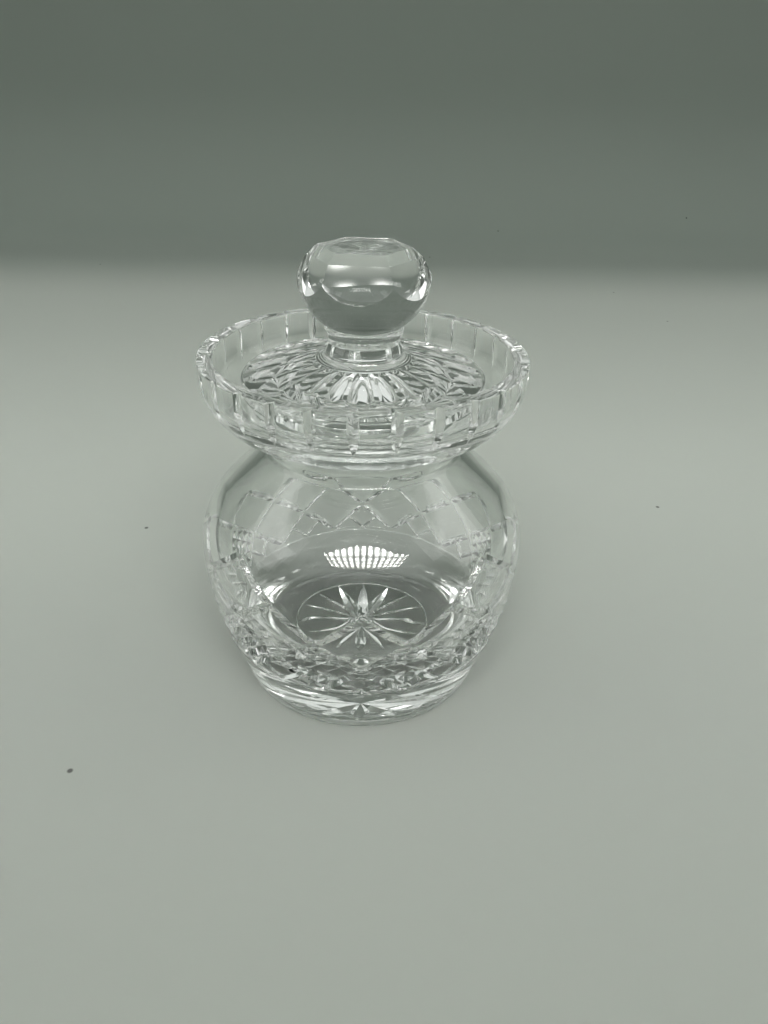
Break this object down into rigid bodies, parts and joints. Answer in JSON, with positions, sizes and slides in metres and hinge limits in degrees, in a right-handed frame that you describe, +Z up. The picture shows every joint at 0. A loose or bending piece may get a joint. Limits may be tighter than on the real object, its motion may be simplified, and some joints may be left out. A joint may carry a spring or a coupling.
{
  "type": "powder jar",
  "caption": "Squat cut-crystal jar with a waisted neck, a wide flared collar and a lift-off domed lid with a faceted knob.",
  "frame": {"origin": "centre of the face that the jar stands on", "axes": "+Z up through the knob, along the jar's axis; -Y is the front, the side with a clear panel facing the viewer"},
  "size_m": [0.1034, 0.1034, 0.1403],
  "materials": {
    "jar_crystal": "clear lead crystal, polished, with sharp mitre cuts",
    "lid_crystal": "clear lead crystal, polished, with flutes and flat facets"
  },
  "bodies": {
    "jar": {"jar": "jar_crystal"},
    "lid": {"lid": "lid_crystal", "knob": "lid_crystal"}
  },
  "joints": [
    {"name": "lid_lift", "type": "slide", "parent": "jar", "child": "lid", "axis": [0, 0, 1], "range_m": [0, 0.07]}
  ]
}
